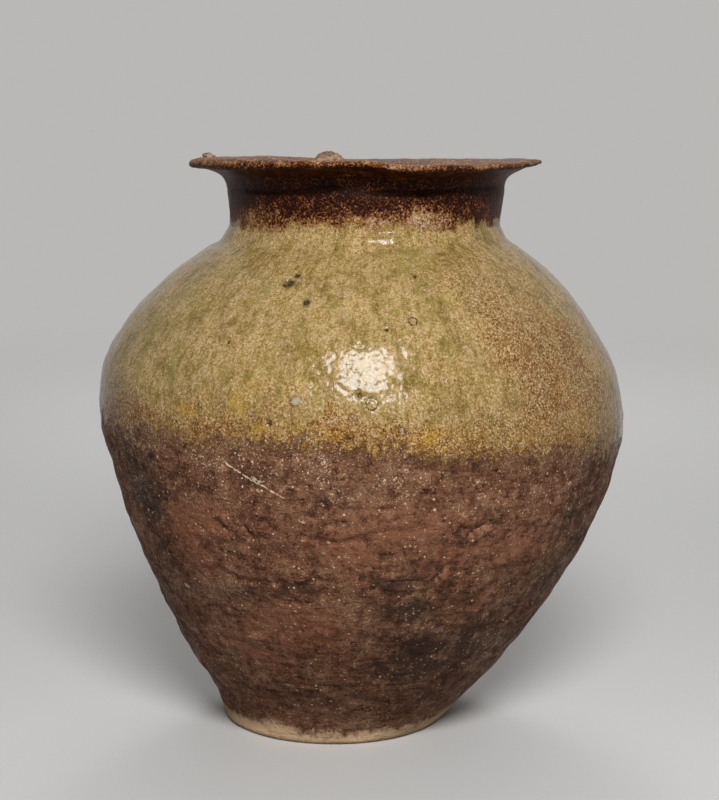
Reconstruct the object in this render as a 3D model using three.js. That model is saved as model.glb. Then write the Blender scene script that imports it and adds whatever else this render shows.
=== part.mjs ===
// A hand-built stoneware storage jar with natural ash glaze, in millimetres, +Z up.
// The potter laid a clay slab and raised the wall on it in stages of coils, each luted to the one below,
// then added the neck collar and the wide mouth rim. The origin is the centre of the foot's underside.

import * as THREE from "three";

// Heights of the stages, from the foot up
const floorThickness = 14;
const lowerWallHeight = 46;
const middleWallHeight = 95;
const bellyWallHeight = 95; // its top is the jar's widest level
const shoulderWallHeight = 70;
const upperShoulderHeight = 63;
const neckHeight = 47;
const neckFilletHeight = 12; // the hollow curve at the neck's foot
const neckWaistHeight = 20; // the neck's narrowest level, above its foot
const rimHeight = 22;

// Outside radii where the stages meet, and between them
const footRadius = 90;
const footEdgeRadius = 3; // rounding of the foot's lower edge
const floorTopRadius = 97;
const lowerWallTopRadius = 131.3;
const middleWallTopRadius = 182;
const bellyRadius = 209;
const shoulderWallTopRadius = 187;
const neckRootRadius = 123;
const neckFilletRadius = 109.5;
const neckWaistRadius = 107.8;
const neckTopRadius = 110.2;
const seamDepth = 1; // the crease between the neck and the folded-out mouth
const rimRadius = 139.5;

// The three upper stages bulge between their joins: where along a stage's height its curve is set, and how
// far the radius there has gone from the narrower join to the wider one
const bellyCurve = { at: 0.53, fullness: 0.674 };
const shoulderCurve = { at: 0.43, fullness: 0.841 };
const upperShoulderCurve = { at: 0.56, fullness: 0.539 };

// Wall thicknesses, measured square to the wall
const wallThickness = 11;
const neckThickness = 10;
const lipThickness = 6.5; // where the lip has its mean thickness
const lipReach = 7; // how far in from its edge the lip starts to thin
const rimDish = 3; // how far the rim's upper face falls on its way in
const throatReach = 16; // how far from the neck's inside the upper face turns down into it
const throatDrop = 3;
const sweepRise = 8.8; // how far the rim's underside goes on upright from the neck
const sweepReach = 6; // where its hollow turns outwards
const sweepDrop = 3.5; // how far the hollow lies below the lip

// The jar stands and slumped by hand: its body is off the foot's centre, sways and is not quite round
const leanDistance = 23;
const leanHeight = 60; // most of the lean happens over this height
const swayDistance = 3;
const swayWavelength = 240;
const swayLevel = 200; // a level where the sway is at its furthest
const ovality = 2; // how far the belly departs from a circle
const ovalTurn = Math.PI / 4;

// The mouth's edge is wavy and its lip uneven: degrees round the jar, how far the edge stands above or
// below its level, and the lip's thickness as a share of its mean
const rimStations = [
  [0, 0.5, 0.6],
  [45, -0.5, 0.8],
  [95, -1.8, 0.9],
  [135, 1.5, 1],
  [180, 3.5, 1.3],
  [225, 2, 1.2],
  [267, 1.8, 0.9],
  [285, -1.5, 1.1],
  [315, -1, 0.9],
];

// Natural ash glaze: a coat that the kiln's ash laid on the shoulder, with a ragged lower edge
const glazeThickness = 1.3;
const glazeClearance = 0.5;
const glazeOverlap = 6; // how far the coat runs down below the widest level, on average
const glazeEdgeTilt = 17; // the coat runs lower on one side
const glazeEdgeTurn = 0.96; // the direction in which it runs lowest
const glazeRunDepth = 3;
const glazeRuns = 9;

// Kiln debris that fell on the soft rim and fused there: angle round the mouth, distance in from the lip's
// edge, half its length along the rim, half its width across the rim, height
const debrisClearance = 0.3;
const backDebris = { angle: 1.82, inset: 6, along: 13, across: 9, height: 8 };
const sideDebris = { angle: 3.05, inset: 8, along: 6, across: 6, height: 3.2 };

// Mesh fineness
const segments = 60;
const rowSpacing = 10;

// Levels, worked out from the stages
const floorTop = floorThickness;
const lowerWallTop = floorTop + lowerWallHeight;
const middleWallTop = lowerWallTop + middleWallHeight;
const bellyLevel = middleWallTop + bellyWallHeight;
const shoulderWallTop = bellyLevel + shoulderWallHeight;
const neckFoot = shoulderWallTop + upperShoulderHeight;
const filletTop = neckFoot + neckFilletHeight;
const neckWaist = neckFoot + neckWaistHeight;
const neckTop = neckFoot + neckHeight;
const mouthTop = neckTop + rimHeight;

// A station between a stage's two joins
function bulge({ at, fullness }, [bottom, bottomRadius], [top, topRadius]) {
  const narrow = Math.min(bottomRadius, topRadius);
  const wide = Math.max(bottomRadius, topRadius);
  return [THREE.MathUtils.lerp(bottom, top, at), THREE.MathUtils.lerp(narrow, wide, fullness)];
}

// The outside of the jar as [height, radius] stations
const outline = [
  [0, footRadius],
  [floorTop, floorTopRadius],
  [lowerWallTop, lowerWallTopRadius],
  [middleWallTop, middleWallTopRadius],
  bulge(bellyCurve, [middleWallTop, middleWallTopRadius], [bellyLevel, bellyRadius]),
  [bellyLevel, bellyRadius],
  bulge(shoulderCurve, [bellyLevel, bellyRadius], [shoulderWallTop, shoulderWallTopRadius]),
  [shoulderWallTop, shoulderWallTopRadius],
  bulge(upperShoulderCurve, [shoulderWallTop, shoulderWallTopRadius], [neckFoot, neckRootRadius]),
  [neckFoot, neckRootRadius],
  [filletTop, neckFilletRadius],
  [neckWaist, neckWaistRadius],
  [neckTop, neckTopRadius],
];

// Slopes at the stations that give a smooth curve with no bulge between them
function stationSlopes(stations) {
  const steps = stations.slice(1).map(([h, r], i) => (r - stations[i][1]) / (h - stations[i][0]));
  return stations.map((_, i) => {
    if (i === 0) return steps[0];
    if (i === steps.length) return steps[i - 1];
    const [before, after] = [steps[i - 1], steps[i]];
    return before * after <= 0 ? 0 : (2 * before * after) / (before + after);
  });
}

const slopes = stationSlopes(outline);

// Radius and slope of the outside at a height, by cubic Hermite curves between the stations
function outsideAt(height) {
  const last = outline.length - 2;
  const i = Math.min(last, Math.max(0, outline.findIndex(([h]) => h > height) - 1));
  const index = height >= outline[last][0] ? last : i;
  const [h0, r0] = outline[index];
  const [h1, r1] = outline[index + 1];
  const span = h1 - h0;
  const t = (height - h0) / span;
  const radius =
    r0 * (1 + 2 * t) * (1 - t) ** 2 +
    slopes[index] * span * t * (1 - t) ** 2 +
    r1 * t ** 2 * (3 - 2 * t) +
    slopes[index + 1] * span * t ** 2 * (t - 1);
  const slope =
    ((r1 - r0) * 6 * t * (1 - t)) / span +
    slopes[index] * (1 - t) * (1 - 3 * t) +
    slopes[index + 1] * t * (3 * t - 2);
  return { radius, slope };
}

// A radius at a distance from the outside, measured square to the wall
function radiusOff(height, distance) {
  const { radius, slope } = outsideAt(height);
  return radius + distance * Math.hypot(1, slope);
}

function thicknessAt(height) {
  const share = THREE.MathUtils.smoothstep(height, shoulderWallTop, neckTop);
  return THREE.MathUtils.lerp(wallThickness, neckThickness, share);
}

function levels(bottom, top) {
  const rows = Math.max(2, Math.round((top - bottom) / rowSpacing));
  return Array.from({ length: rows + 1 }, (_, i) => bottom + ((top - bottom) * i) / rows);
}

// The neck has rows at its foot's hollow curve and up its collar
const neckLevels = [
  ...levels(neckFoot, filletTop).slice(0, -1),
  filletTop,
  ...levels(neckWaist, neckTop),
];

// Moves a vertex from the turned form to the hand-built one
function slump(point) {
  const height = point.z;
  const angle = Math.atan2(point.y, point.x);
  const risen = 1 - Math.exp(-Math.max(0, height) / leanHeight);
  const phase = (2 * Math.PI * (height - swayLevel)) / swayWavelength;
  const swell = THREE.MathUtils.smoothstep(height, 0, bellyLevel) *
    (1 - THREE.MathUtils.smoothstep(height, bellyLevel, neckFoot));
  const radius = Math.hypot(point.x, point.y);
  const grow = 1 + (ovality * swell * Math.cos(2 * (angle - ovalTurn))) / bellyRadius;
  point.x = radius * grow * Math.cos(angle) + risen * (leanDistance + swayDistance * Math.cos(phase));
  point.y = radius * grow * Math.sin(angle) + risen * swayDistance * Math.sin(phase);
  const rimShare = THREE.MathUtils.smoothstep(height, neckTop, mouthTop);
  point.z = height + rimShare * roundTheRim(angle, 1);
}

// A value of the rim's stations at an angle, eased from each station to the next and closed round the jar
function roundTheRim(angle, column) {
  const degrees = THREE.MathUtils.euclideanModulo(THREE.MathUtils.radToDeg(angle), 360);
  const next = rimStations.findIndex(([at]) => at > degrees);
  const from = rimStations.at(next === -1 ? -1 : next - 1);
  const to = next === -1 ? rimStations[0] : rimStations[next];
  const span = THREE.MathUtils.euclideanModulo(to[0] - from[0], 360);
  const share = THREE.MathUtils.smoothstep((degrees - from[0]) / span, 0, 1);
  return THREE.MathUtils.lerp(from[column], to[column], share);
}

function moveVertices(geometry, move) {
  const positions = geometry.getAttribute("position");
  const point = new THREE.Vector3();
  for (let i = 0; i < positions.count; i++) {
    point.fromBufferAttribute(positions, i);
    move(point);
    positions.setXYZ(i, point.x, point.y, point.z);
  }
  geometry.computeVertexNormals();
  return geometry;
}

// Turns a closed section of [radius, height] points about the upright axis
function turned(section, count = segments) {
  const points = section.map(([radius, height]) => new THREE.Vector2(radius, height));
  return new THREE.LatheGeometry(points, count).rotateX(Math.PI / 2);
}

// One stage of the wall, between two level joins
function wallStage(heights) {
  const outside = heights.map((h) => [radiusOff(h, 0), h]);
  const inside = heights.map((h) => [radiusOff(h, -thicknessAt(h)), h]).reverse();
  return moveVertices(turned([...outside, ...inside, outside[0]]), slump);
}

// The slab that the jar was built on, which closes the bottom
function floorSlab() {
  const section = [
    [0, 0],
    [footRadius - footEdgeRadius, 0],
    [footRadius - footEdgeRadius * 0.3, footEdgeRadius * 0.3],
    [radiusOff(footEdgeRadius, 0), footEdgeRadius],
    [radiusOff(floorTop, 0), floorTop],
    [0, floorTop],
  ];
  return moveVertices(turned(section), slump);
}

// The rim's upper face, from the lip in to the neck's inside
const innerNeck = radiusOff(neckTop, -neckThickness);
const lipFoot = rimRadius - lipReach; // where the lip starts to thin
const rimFace = new THREE.CubicBezierCurve(
  new THREE.Vector2(lipFoot, mouthTop),
  new THREE.Vector2(innerNeck + throatReach, mouthTop - rimDish),
  new THREE.Vector2(innerNeck, mouthTop - rimDish - throatDrop),
  new THREE.Vector2(innerNeck, neckTop),
).getPoints(8);

// The height of the rim's upper face at a radius
function rimFaceAt(radius) {
  const next = Math.max(1, rimFace.findIndex((p) => p.x <= radius));
  const [outer, inner] = [rimFace[next - 1], rimFace[next]];
  return THREE.MathUtils.mapLinear(radius, outer.x, inner.x, outer.y, inner.y);
}

// The everted mouth: a hollow sweep out of the neck to a flat, rounded lip
function mouthRim() {
  const under = new THREE.CubicBezierCurve(
    new THREE.Vector2(neckTopRadius - seamDepth, neckTop),
    new THREE.Vector2(neckTopRadius, neckTop + sweepRise),
    new THREE.Vector2(neckTopRadius + sweepReach, mouthTop - lipThickness - sweepDrop),
    new THREE.Vector2(lipFoot, mouthTop - lipThickness),
  ).getPoints(7);
  const lip = [60, 25, 0, -25, -60].map((degrees) => {
    const turn = THREE.MathUtils.degToRad(degrees);
    return new THREE.Vector2(
      lipFoot + lipReach * Math.cos(turn),
      mouthTop - (lipThickness / 2) * (1 + Math.sin(turn)),
    );
  });
  const section = [...under, ...lip, ...rimFace, under[0]].map((p) => [p.x, p.y]);
  return moveVertices(turned(section), (point) => {
    const angle = Math.atan2(point.y, point.x);
    const radius = Math.hypot(point.x, point.y);
    const lipShare = THREE.MathUtils.smoothstep(radius, neckTopRadius, rimRadius);
    const depth = rimFaceAt(Math.min(radius, lipFoot)) - point.z;
    const thicker = (roundTheRim(angle, 2) - 1) * lipShare;
    point.z -= Math.max(0, depth) * thicker;
    slump(point);
  });
}

// The ash glaze's lower edge, above or below its mean level, round the jar
function glazeEdgeShift(angle) {
  const runs = Math.cos(glazeRuns * angle) + 0.6 * Math.cos(2.3 + (glazeRuns - 4) * angle);
  return -glazeEdgeTilt * Math.cos(angle - glazeEdgeTurn) - glazeRunDepth * runs;
}

// The coat is turned as a strip of [offset, height] points, and each point is then laid on the wall
function ashGlazeCoat() {
  const bottom = bellyLevel - glazeOverlap;
  const heights = [
    bottom,
    ...levels(bellyLevel, shoulderWallTop).slice(0, -1),
    ...levels(shoulderWallTop, neckFoot).slice(0, -1),
    ...levels(neckFoot, filletTop),
  ];
  const near = heights.map((h) => [glazeClearance, h]).reverse();
  const far = heights.map((h) => [glazeClearance + glazeThickness, h]);
  const strip = turned([...far, ...near, far[0]]);
  return moveVertices(strip, (point) => {
    const angle = Math.atan2(point.y, point.x);
    const offset = Math.hypot(point.x, point.y);
    const fade = 1 - THREE.MathUtils.smoothstep(point.z, bottom, shoulderWallTop);
    point.z += fade * glazeEdgeShift(angle);
    const radius = radiusOff(point.z, offset);
    point.x = radius * Math.cos(angle);
    point.y = radius * Math.sin(angle);
    slump(point);
  });
}

// A lump of kiln debris: a dome laid on the rim's upper face
function debrisLump({ angle, inset, along, across, height }) {
  const seat = rimRadius - inset - across;
  const round = [0, 18, 40, 65, 90].map((degrees) => {
    const turn = THREE.MathUtils.degToRad(degrees);
    return [Math.cos(turn), height * Math.sin(turn)];
  });
  const base = [[0, 0], [0.5, 0]]; // its middle ring lets the base follow the rim's face
  return moveVertices(turned([...base, ...round], 14), (point) => {
    const outward = seat + across * point.x;
    const sideways = along * point.y;
    const radius = Math.hypot(outward, sideways);
    const turn = angle + Math.atan2(sideways, outward);
    const level = rimFaceAt(radius) + debrisClearance + point.z;
    point.set(radius * Math.cos(turn), radius * Math.sin(turn), level);
    slump(point);
  });
}

// Materials
const bareStoneware = new THREE.MeshStandardMaterial({ color: 0x5d3b2b, roughness: 0.75, metalness: 0 });
const footStoneware = new THREE.MeshStandardMaterial({ color: 0x7a5c45, roughness: 0.9, metalness: 0 });
const neckStoneware = new THREE.MeshStandardMaterial({ color: 0x4a2c1a, roughness: 0.5, metalness: 0 });
const ashGlaze = new THREE.MeshStandardMaterial({ color: 0x8f7a48, roughness: 0.28, metalness: 0 });
const kilnDebris = new THREE.MeshStandardMaterial({ color: 0x9a7d62, roughness: 0.95, metalness: 0 });

function named(name, geometry, material) {
  const mesh = new THREE.Mesh(geometry, material);
  mesh.name = name;
  return mesh;
}

const jar = new THREE.Group();
jar.add(
  named("floor_slab", floorSlab(), footStoneware),
  named("lower_wall", wallStage(levels(floorTop, lowerWallTop)), bareStoneware),
  named("middle_wall", wallStage(levels(lowerWallTop, middleWallTop)), bareStoneware),
  named("belly_wall", wallStage(levels(middleWallTop, bellyLevel)), bareStoneware),
  named("shoulder_wall", wallStage(levels(bellyLevel, shoulderWallTop)), bareStoneware),
  named("upper_shoulder", wallStage(levels(shoulderWallTop, neckFoot)), bareStoneware),
  named("neck_collar", wallStage(neckLevels), neckStoneware),
  named("mouth_rim", mouthRim(), neckStoneware),
  named("ash_glaze_coat", ashGlazeCoat(), ashGlaze),
  named("kiln_debris_back", debrisLump(backDebris), kilnDebris),
  named("kiln_debris_side", debrisLump(sideDebris), kilnDebris),
);

export default jar;
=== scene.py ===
# The looks of a hand-built stoneware storage jar with natural ash glaze. Metres, +Z up; the jar's foot is
# centred on the origin, and -Y is the side that the photograph shows.
import itertools
import math

import bpy
import numpy as np
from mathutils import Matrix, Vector


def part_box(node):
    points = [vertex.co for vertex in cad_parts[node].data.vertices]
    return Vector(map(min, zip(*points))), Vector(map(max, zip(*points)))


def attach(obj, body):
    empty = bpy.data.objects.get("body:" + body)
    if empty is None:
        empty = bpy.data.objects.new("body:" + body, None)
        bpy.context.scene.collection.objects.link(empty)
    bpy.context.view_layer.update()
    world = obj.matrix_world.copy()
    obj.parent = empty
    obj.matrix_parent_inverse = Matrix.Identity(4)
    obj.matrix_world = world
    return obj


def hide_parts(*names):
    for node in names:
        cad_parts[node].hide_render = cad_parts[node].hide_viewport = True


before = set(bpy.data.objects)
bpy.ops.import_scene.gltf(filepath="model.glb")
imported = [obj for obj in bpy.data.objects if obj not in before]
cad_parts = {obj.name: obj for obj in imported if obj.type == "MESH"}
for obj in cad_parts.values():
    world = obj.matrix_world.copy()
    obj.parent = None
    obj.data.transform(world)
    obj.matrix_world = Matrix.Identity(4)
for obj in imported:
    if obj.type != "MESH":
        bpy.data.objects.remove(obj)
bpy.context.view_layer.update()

bl_info = {
    "name": "Ash-glazed storage jar",
    "version": (1, 0, 0),
    "blender": (4, 5, 0),
    "location": "3D View > Sidebar > Jar",
    "description": "Dresses the frame of a stoneware storage jar with its clay, glaze, grit and kiln debris",
    "category": "Object",
}

MM = 0.001
TAU = 2 * math.pi


def linear(hex_colour):
    """An sRGB hex colour as linear red, green and blue."""
    parts = [int(hex_colour[i:i + 2], 16) / 255 for i in (1, 3, 5)]
    return tuple(p / 12.92 if p <= 0.04045 else ((p + 0.055) / 1.055) ** 2.4 for p in parts)


# Levels of the wall's stages, read from the frame
FLOOR_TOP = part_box("lower_wall")[0][2]
LOWER_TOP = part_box("middle_wall")[0][2]
MIDDLE_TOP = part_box("belly_wall")[0][2]
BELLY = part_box("shoulder_wall")[0][2]
SHOULDER_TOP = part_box("upper_shoulder")[0][2]
NECK_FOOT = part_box("neck_collar")[0][2]
NECK_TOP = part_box("neck_collar")[1][2]
FILLET_TOP = NECK_FOOT + 12 * MM
NECK_WAIST = NECK_FOOT + 20 * MM
MOUTH_TOP = NECK_TOP + 22 * MM


def bulge(at, fullness, low, high):
    """A station between two joins of the wall, as height and radius."""
    narrow, wide = sorted((low[1], high[1]))
    return low[0] + (high[0] - low[0]) * at, narrow + (wide - narrow) * fullness


# The outside of the jar: height, radius
FOOT_JOIN = (FLOOR_TOP, 97 * MM)
MIDDLE_JOIN = (MIDDLE_TOP, 182 * MM)
BELLY_JOIN = (BELLY, 209 * MM)
SHOULDER_JOIN = (SHOULDER_TOP, 187 * MM)
NECK_JOIN = (NECK_FOOT, 123 * MM)
OUTLINE = np.array([
    (0, 90 * MM),
    FOOT_JOIN,
    (LOWER_TOP, 131.3 * MM),
    MIDDLE_JOIN,
    bulge(0.53, 0.674, MIDDLE_JOIN, BELLY_JOIN),
    BELLY_JOIN,
    bulge(0.43, 0.841, BELLY_JOIN, SHOULDER_JOIN),
    SHOULDER_JOIN,
    bulge(0.56, 0.539, SHOULDER_JOIN, NECK_JOIN),
    NECK_JOIN,
    (NECK_FOOT + 5 * MM, 114.2 * MM),
    (NECK_FOOT + 10 * MM, 110.6 * MM),
    (NECK_WAIST, 107.8 * MM),
    (NECK_TOP, 110.2 * MM),
])
BELLY_RADIUS = BELLY_JOIN[1]
NECK_RADIUS = OUTLINE[-1, 1]
FOOT_ROUND = 3 * MM
WALL = 11 * MM
NECK_WALL = 10 * MM

# The mouth's rim
RIM_RADIUS = 139.5 * MM
LIP = 6.5 * MM
LIP_REACH = 7 * MM
RIM_DISH = 3 * MM

# The lean, sway and ovality of the standing jar
LEAN, LEAN_HEIGHT = 23 * MM, 60 * MM
SWAY, SWAY_WAVE, SWAY_LEVEL = 3 * MM, 240 * MM, 200 * MM
OVALITY, OVAL_TURN = 2 * MM, math.pi / 4

# Round the rim: degrees, lift of the edge in mm, the lip's thickness as a share of its mean
RIM_STATIONS = [
    (0, 0.5, 0.6), (45, -0.5, 0.8), (95, -1.8, 0.9), (135, 1.5, 1), (180, 3.5, 1.3), (225, 2, 1.2),
    (267, 1.8, 0.9), (285, -1.5, 1.1), (315, -1, 0.9),
]

# Round the neck's seam: degrees, how far the crease stands above or below its level in mm, its depth in mm
SEAM_STATIONS = [
    (0, 0.5, 0.2), (40, 0, 0.8), (90, 0.5, 1.4), (140, -0.5, 0.8), (185, 0.5, 0.1), (210, 0.8, 0.8),
    (228, -0.6, 2.4), (240, -0.2, 2.8), (250, 1, 2.2), (257, 2.8, 2.6), (262, 4.2, 1.4), (268, 0.8, 0.3),
    (275, -1, 2.8), (292, -0.8, 3.6), (308, 0.6, 1.6), (330, 1.2, 0.4),
]

# Kiln debris on the rim's upper face: node, direction round the mouth in radians, distance in from the edge,
# half its length along the rim, half its width across it and its height, in mm
DEBRIS = [("kiln_debris_back", 1.82, 6, 13, 9, 8), ("kiln_debris_side", 3.05, 8, 6, 6, 3.2)]

# The studio: colours of the floor and of the air, as seen and as they light the jar, and the soft boxes as
# name, place, aim, width and height in metres, power in watts, and whether the glaze mirrors them
FLOOR_COLOUR, FLOOR_LIGHT = "#d2d1cf", "#8a8986"
AIR_COLOUR, AIR_LIGHT = "#b9b8b6", "#303133"
SOFTBOXES = [
    ("key_softbox", (0.15, -1.58, 1.37), (0.02, 0, 0.28), (0.76, 0.56), 35, True),
    ("key_surround", (0.15, -1.62, 1.4), (0.02, 0, 0.28), (1.1, 0.95), 4, True),
    ("left_softbox", (-2.2, -1.2, 1.3), (0.02, 0, 0.25), (1.4, 1.4), 1, False),
    ("right_softbox", (2.3, -0.6, 0.9), (0.02, 0, 0.25), (1.2, 1.2), 1, False),
    ("back_key", (0.05, 1.75, 1.5), (0.02, 0, 0.3), (0.5, 0.45), 6, True),
    ("back_softbox", (0.2, 2.6, 1.9), (0.02, 0, 0.25), (3.0, 2.2), 42, False),
]

# The camera that took the photograph: place, tilt up from straight down, sensor's width and lens in mm
CAMERA_PLACE, CAMERA_TILT = (0.021, -1.427, 0.475), math.radians(81.4)
SENSOR, LENS = 36, 80.24

# Fineness of the spun pieces
SEGMENTS = 720
FINE_ROW = 1.8 * MM
COARSE_ROW = 6 * MM


class JarSizes(bpy.types.PropertyGroup):
    relief: bpy.props.FloatProperty(
        name="Relief", description="How uneven the hand-built wall is", default=1, min=0, max=2)
    glaze_thickness: bpy.props.FloatProperty(
        name="Glaze thickness", description="Thickness of the ash glaze", default=1.1 * MM, unit="LENGTH")
    glaze_edge: bpy.props.FloatProperty(
        name="Glaze edge", description="Mean height of the glaze's lower edge", default=BELLY - 14 * MM,
        unit="LENGTH")
    grit_spacing: bpy.props.FloatProperty(
        name="Grit spacing", description="Distance between feldspar grains", default=3.6 * MM, unit="LENGTH")
    coil_height: bpy.props.FloatProperty(
        name="Coil height", description="Height of a coil inside the jar", default=15 * MM, unit="LENGTH")


def colour_property(name, description, hex_colour):
    return bpy.props.FloatVectorProperty(
        name=name, description=description, default=linear(hex_colour), subtype="COLOR", size=3, min=0, max=1)


class JarColours(bpy.types.PropertyGroup):
    clay_dark: colour_property("Dark clay", "Bare stoneware in its hollows", "#452c1f")
    clay: colour_property("Clay", "Bare stoneware where the flame reddened it", "#754d38")
    clay_light: colour_property("Light clay", "Bare stoneware on its high spots", "#906d53")
    # Scorched clay, also laid as painted shade on the jar's left and right sides and low at its front right
    scorched_and_shaded: colour_property("Scorched clay", "Bare stoneware that the embers greyed", "#382921")
    red: colour_property("Red clay", "Bare stoneware at its reddest", "#935f47")
    # Feldspar, also laid on the glaze as pale flecks that are partly painted highlights
    feldspar: colour_property("Feldspar", "Grains of feldspar in the clay", "#e2caa6")
    foot: colour_property("Foot", "Pale clay at the foot's worn edge", "#e3bf98")
    # Also laid as painted shade in the glaze's pits, in the crease under the mouth and in the bare clay's
    # cracks
    neck_dark: colour_property("Dark neck", "Iron-brown clay of the neck in its hollows", "#1f0904")
    neck: colour_property("Neck", "Iron-brown clay of the neck", "#471f0e")
    spark: colour_property("Ash specks", "Orange-brown specks of ash on the neck", "#85552a")
    crust: colour_property("Ash crust", "Pinkish-tan ash on the mouth", "#a08465")
    crust_pale: colour_property("Pale crust", "Ash on the mouth where it is thickest", "#c6a686")
    glaze_deep: colour_property("Deep glaze", "Ash glaze between its crystals", "#6f5727")
    glaze: colour_property("Ash glaze", "Khaki ash glaze", "#9c814c")
    glaze_pale: colour_property("Pale glaze", "Crystals in the ash glaze", "#cdb17f")
    thin: colour_property("Thin glaze", "Brown glaze where the ash is thin", "#946228")
    green: colour_property("Green run", "Olive streaks of run glaze", "#74702f")
    amber: colour_property("Amber glaze", "Ochre pools at the glaze's lower edge", "#b08826")
    rust: colour_property("Rust", "Iron-rich brown specks in the glaze", "#583214")
    chalky: colour_property("Chalky glaze", "Patches of glaze that crystallised grey", "#a89d86")
    debris: colour_property("Kiln debris", "Lumps of fused kiln debris", "#ad9078")
    debris_dark: colour_property("Dark debris", "Hollows in the kiln debris", "#6b5142")


def outside(height):
    """Radius and slope of the outside at heights, by cubic curves between the outline's stations."""
    heights, radii = OUTLINE.T
    steps = np.diff(radii) / np.diff(heights)
    before, after = steps[:-1], steps[1:]
    same_way = before * after > 0
    total = np.where(same_way, before + after, 1)
    inner = np.where(same_way, 2 * before * after / total, 0)
    slopes = np.concatenate([steps[:1], inner, steps[-1:]])
    i = np.clip(np.searchsorted(heights, height, side="right") - 1, 0, len(heights) - 2)
    span = heights[i + 1] - heights[i]
    t = (height - heights[i]) / span
    radius = (radii[i] * (1 + 2 * t) * (1 - t) ** 2 + slopes[i] * span * t * (1 - t) ** 2
              + radii[i + 1] * t ** 2 * (3 - 2 * t) + slopes[i + 1] * span * t ** 2 * (t - 1))
    slope = ((radii[i + 1] - radii[i]) * 6 * t * (1 - t) / span + slopes[i] * (1 - t) * (1 - 3 * t)
             + slopes[i + 1] * t * (3 * t - 2))
    return radius, slope


def smooth(value, low, high):
    t = np.clip((value - low) / (high - low), 0, 1)
    return t * t * (3 - 2 * t)


def off_wall(height, distance):
    """Radius at a distance from the outside, measured square to the wall."""
    radius, slope = outside(height)
    return radius + distance * np.hypot(1, slope)


def wall_thickness(height):
    return WALL + (NECK_WALL - WALL) * smooth(height, SHOULDER_TOP, NECK_TOP)


def around_mouth(stations, angle, column):
    """A value of the stations round the mouth at angles, eased from station to station."""
    closed = np.array(stations + [(360 + stations[0][0],) + stations[0][1:]])
    degrees = np.degrees(angle) % 360
    i = np.searchsorted(closed[:, 0], degrees, side="right") - 1
    share = smooth(degrees, closed[i, 0], closed[i + 1, 0])
    return closed[i, column] * (1 - share) + closed[i + 1, column] * share


def placed(angle, radius, height):
    """Points at angles round the axis, at radii and heights."""
    return np.stack([radius * np.cos(angle), radius * np.sin(angle), height], axis=1)


def round_axis(point):
    """Angle round the axis, radius and height of points."""
    x, y, height = point.T
    return np.arctan2(y, x), np.hypot(x, y), height


def slump(point):
    """Moves turned points to the standing, hand-built jar, with the crease under its mouth."""
    angle, radius, height = round_axis(point)
    outer = smooth(radius, NECK_RADIUS - 8 * MM, NECK_RADIUS - 2 * MM)
    from_seam = (height - NECK_TOP) / MM
    crease = outer * around_mouth(SEAM_STATIONS, angle, 2) * np.exp(-(from_seam / 2.4) ** 2)
    wander = outer * around_mouth(SEAM_STATIONS, angle, 1) * np.exp(-(from_seam / 8) ** 2)
    radius = radius - crease * MM
    risen = 1 - np.exp(-np.maximum(0, height) / LEAN_HEIGHT)
    phase = TAU * (height - SWAY_LEVEL) / SWAY_WAVE
    swell = smooth(height, 0, BELLY) * (1 - smooth(height, BELLY, NECK_FOOT))
    grow = 1 + OVALITY * swell * np.cos(2 * (angle - OVAL_TURN)) / BELLY_RADIUS
    lift = smooth(height, NECK_TOP, MOUTH_TOP) * around_mouth(RIM_STATIONS, angle, 1) + wander
    return np.stack([
        radius * grow * np.cos(angle) + risen * (LEAN + SWAY * np.cos(phase)),
        radius * grow * np.sin(angle) + risen * SWAY * np.sin(phase),
        height + lift * MM,
    ], axis=1)


def noise(point, size, seed):
    """Smooth noise from -1 to 1, in lumps about size mm across: one length, or one for each axis."""
    spot = point / (np.asarray(size) * MM) + seed * 37.7
    cell = np.floor(spot).astype(np.int64)
    part = spot - cell
    part = part * part * part * (part * (part * 6 - 15) + 10)
    total = np.zeros(len(point))
    for corner in itertools.product((0, 1), repeat=3):
        x, y, z = (cell + corner).T
        mixed = (x * 73856093) ^ (y * 19349663) ^ (z * 83492791)
        mixed = (mixed ^ (mixed >> 13)) * 1274126177 & 0x7FFFFFFF
        value = (mixed % 65521) / 32760 - 1
        weight = np.prod(np.where(corner, part, 1 - part), axis=1)
        total += weight * value
    return total


def layers(point, *kinds):
    """Layers of noise added up, each by its strength, its size in mm and its seed."""
    return sum(strength * noise(point, size, seed) for strength, size, seed in kinds)


def turned(angle, height):
    """Points on the smooth outside at angles and heights, no higher than the wall's top."""
    height = np.minimum(height, NECK_TOP)
    return placed(angle, outside(height)[0], height)


# Marks on the wall. Angles are degrees round the jar from the photograph's right, and lengths are mm.
# Pits: angle, height, radius, depth
PITS = [
    (-110.2, 365.7, 3.8, 2.4), (-111.6, 364.2, 2.4, 1.6), (-109.2, 370.5, 2.8, 1.8), (-103.6, 353, 3.2, 1.8),
    (-114.2, 387.7, 1.5, 1.4), (-119.9, 324.7, 1.6, 1.5), (-107.8, 272.3, 2.4, 2), (-83.6, 335, 1.6, 1.2),
    (-74.2, 369.7, 1.9, 1.2), (-100.2, 388.3, 1.3, 1), (-89.8, 292.7, 2.2, 1.4), (52, 340, 2.4, 1.8),
    (118, 362, 2.2, 1.6), (160, 330, 2, 1.6), (12, 351, 1.8, 1.4), (84, 296, 2.6, 1.8), (141, 285, 1.8, 1.4),
    (-100.8, 156.3, 5, 1.8), (-89.6, 156.3, 5, 1.4), (-34.4, 112, 3, 1.8), (-38.5, 210, 2.6, 1.8),
    (-122.1, 192.7, 6, 1.8), (-68, 150, 4, 1.4), (-130, 95, 4, 1.4), (40, 170, 4, 1.6), (101, 120, 5, 1.6),
    (133, 205, 4, 1.5), (70, 90, 3, 1.4),
]
# Rings that burst bubbles left in the glaze: angle, height, radius, depth
RINGS = [(-77.2, 340, 3.2, 0.8), (-87.5, 286.7, 4.2, 0.9), (30, 318, 3.4, 0.8), (101, 342, 3, 0.8)]
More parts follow.
